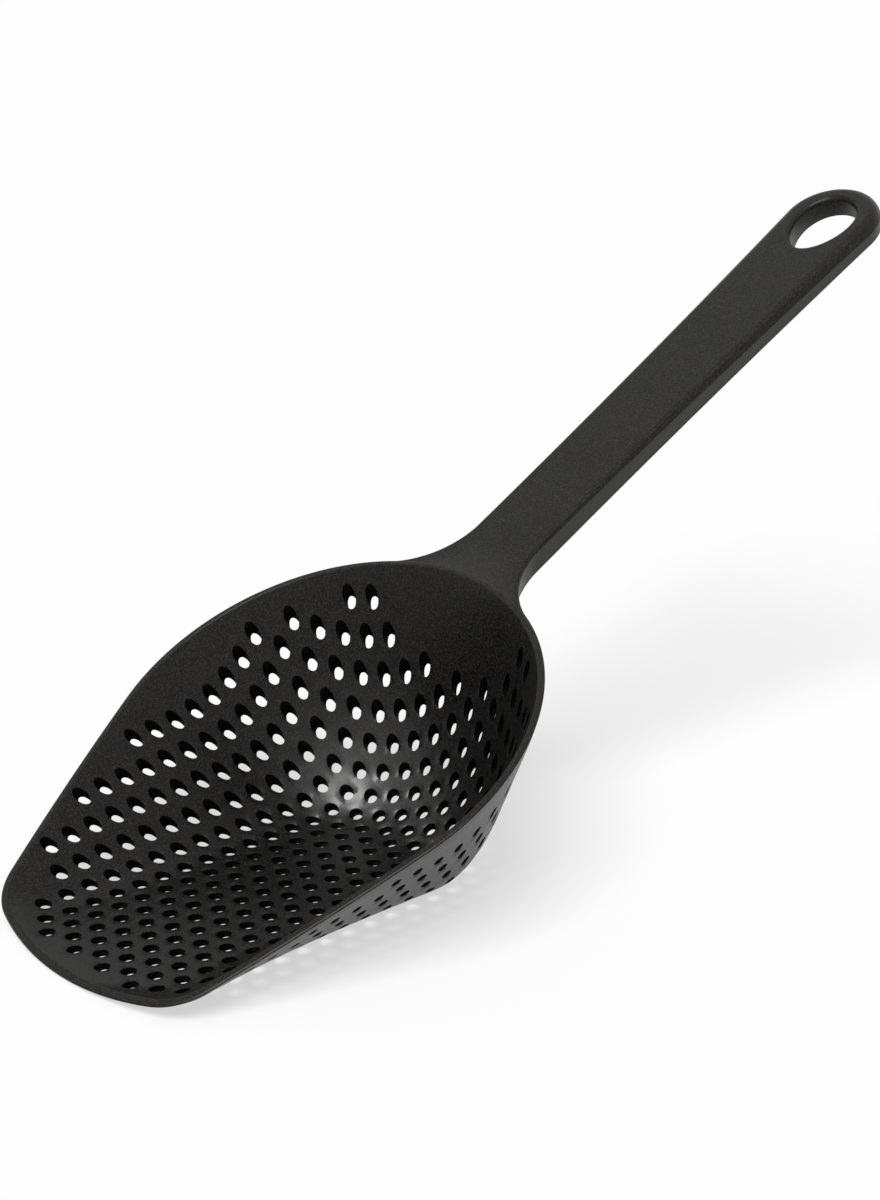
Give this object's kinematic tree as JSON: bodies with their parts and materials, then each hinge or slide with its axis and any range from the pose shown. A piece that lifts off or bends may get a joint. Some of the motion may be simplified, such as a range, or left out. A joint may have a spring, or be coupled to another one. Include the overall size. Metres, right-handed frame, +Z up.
{
  "type": "strainer scoop",
  "caption": "One-piece moulded plastic scoop: a deep perforated bowl with an open, slightly bowed lip and a long flat handle that ends in an egg-shaped hanging hole.",
  "frame": {"origin": "on the flat underside of the bowl's floor, in the mid-plane, on the web between two drain holes of the middle column", "axes": "+Z up, square to the flat floor that the scoop stands on; +Y from the lip towards the handle's end; +X across, with the scoop the same on both sides of X = 0"},
  "size_m": [0.1318, 0.3121, 0.1709],
  "materials": {
    "black_plastic": "fine moulded grain, satin"
  },
  "bodies": {
    "root": {"scoop_moulding": "black_plastic"}
  },
  "joints": []
}
